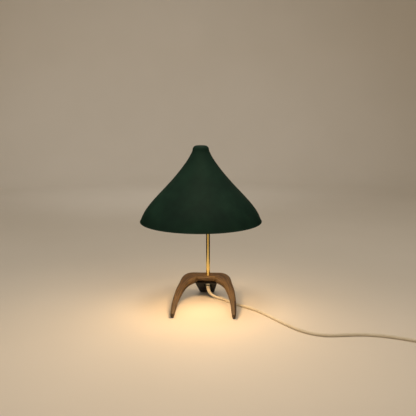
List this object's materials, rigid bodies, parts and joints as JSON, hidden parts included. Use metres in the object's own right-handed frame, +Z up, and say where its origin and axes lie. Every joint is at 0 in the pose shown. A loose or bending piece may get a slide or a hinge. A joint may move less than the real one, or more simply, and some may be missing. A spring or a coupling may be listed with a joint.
{
  "type": "tripod table lamp",
  "caption": "Table lamp with a spun cone shade on a thin bent stem, swivelling on a bowed wooden tripod base, with a mains cord and plug.",
  "frame": {"origin": "on the floor straight under the shade's axis, which is the middle of the lamp's box without its cord", "axes": "+Z up along the shade's axis; the base faces -Y with its two front feet; +X to the right of someone facing it"},
  "size_m": [0.7427, 0.3681, 0.4],
  "materials": {
    "bow_wood": "oiled walnut-brown hardwood, satin",
    "leg_wood": "the same wood, darker under the bow",
    "dowel_wood": "beech",
    "pad_rubber": "matte",
    "fixing_steel": "zinc plated",
    "holder_plastic": "moulded black phenolic",
    "stem_brass": "polished",
    "knuckle_brass": "turned, polished",
    "cord_pvc": "cream PVC",
    "washer_fibre": "red fibre",
    "shade_paint": "satin dark green outside, white inside",
    "insert_ceramic": "glazed",
    "contact_brass": "nickel-free brass",
    "opal_glass": "opal, frosted inside",
    "bulb_metal": "rolled",
    "clear_glass": "clear",
    "filament_metal": "tungsten",
    "switch_plastic": "cream",
    "tie_plastic": "pale strap",
    "plug_plastic": "moulded cream PVC",
    "pin_metal": "nickel-plated brass"
  },
  "bodies": {
    "base": {"front_bow": "bow_wood", "rear_leg": "leg_wood", "bow_dowels": "dowel_wood", "foot_pad_left": "pad_rubber", "foot_pad_right": "pad_rubber", "foot_pad_rear": "pad_rubber", "stem_washer": "fixing_steel", "cord_lead": "cord_pvc", "cord_coil": "cord_pvc", "cord_tail": "cord_pvc", "cord_tie": "tie_plastic", "plug_body": "plug_plastic", "plug_pins": "pin_metal"},
    "arm": {"stem_tube": "stem_brass", "stem_nut": "fixing_steel", "cord_bushing": "holder_plastic", "inner_flex": "cord_pvc", "knuckle_fork": "knuckle_brass", "knuckle_screw": "knuckle_brass", "knuckle_nut": "knuckle_brass", "friction_washers": "washer_fibre"},
    "head": {"knuckle_tongue": "knuckle_brass", "head_nipple": "fixing_steel", "spider_nuts": "fixing_steel", "shade_spider": "fixing_steel", "shade": "shade_paint", "holder_cap": "holder_plastic", "holder_skirt": "holder_plastic", "holder_insert": "insert_ceramic", "terminal_screws": "contact_brass", "screw_sleeve": "contact_brass", "centre_contact": "contact_brass", "bulb_glass": "opal_glass", "bulb_cap": "bulb_metal", "bulb_tip": "bulb_metal", "bulb_mount": "clear_glass", "bulb_filament": "filament_metal"},
    "switch": {"switch_bar": "switch_plastic"}
  },
  "joints": [
    {"name": "arm_swivel", "type": "hinge", "parent": "base", "child": "arm", "pos_m": [0.01325, 0.08092, 0.0543], "axis": [0, 0, 1], "range_deg": [-20.7, 39.3]},
    {"name": "shade_tilt", "type": "hinge", "parent": "arm", "child": "head", "pos_m": [0.00259, 0.01579, 0.304], "axis": [0.9869, -0.1616, 0], "range_deg": [-10, 30]},
    {"name": "switch_push", "type": "slide", "parent": "head", "child": "switch", "axis": [0.9869, -0.1616, 0], "range_m": [0, 0.007]}
  ]
}
